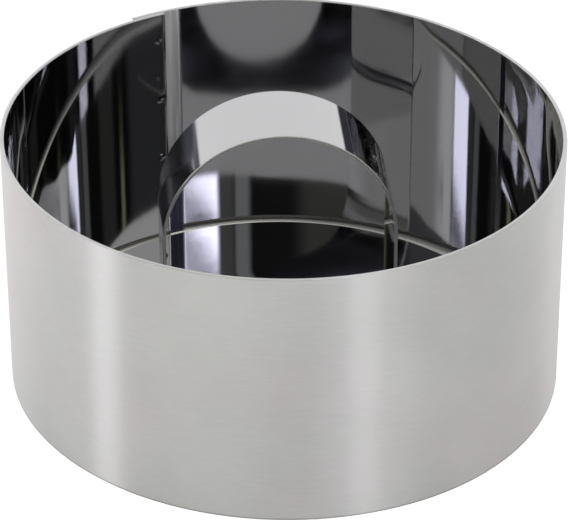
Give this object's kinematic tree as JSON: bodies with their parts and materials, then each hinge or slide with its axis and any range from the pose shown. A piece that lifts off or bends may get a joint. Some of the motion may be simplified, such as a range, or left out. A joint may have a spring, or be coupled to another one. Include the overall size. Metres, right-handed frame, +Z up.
{
  "type": "round food ring mold with pusher",
  "caption": "Round sheet-metal food mold: an open ring band with a lapped, spot-welded seam, and a loose pusher, a flat disc with a strap handle, that presses food out of it.",
  "frame": {"origin": "on the table, on the upright axis of the ring band", "axes": "+Z up along the axis of the band; the handle's arch spans left to right, near enough along X; -Y is the side that the picture looks from"},
  "size_m": [0.0812, 0.0796, 0.0427],
  "materials": {
    "band_steel": "stainless sheet, satin with a fine level grain outside and mirror bright inside",
    "plate_steel": "stainless sheet, mirror bright",
    "strap_steel": "stainless strip, polished bright, with bare sheared edges"
  },
  "bodies": {
    "root": {"ring_band": "band_steel", "pusher_plate": "plate_steel", "pusher_handle": "strap_steel"}
  },
  "joints": []
}
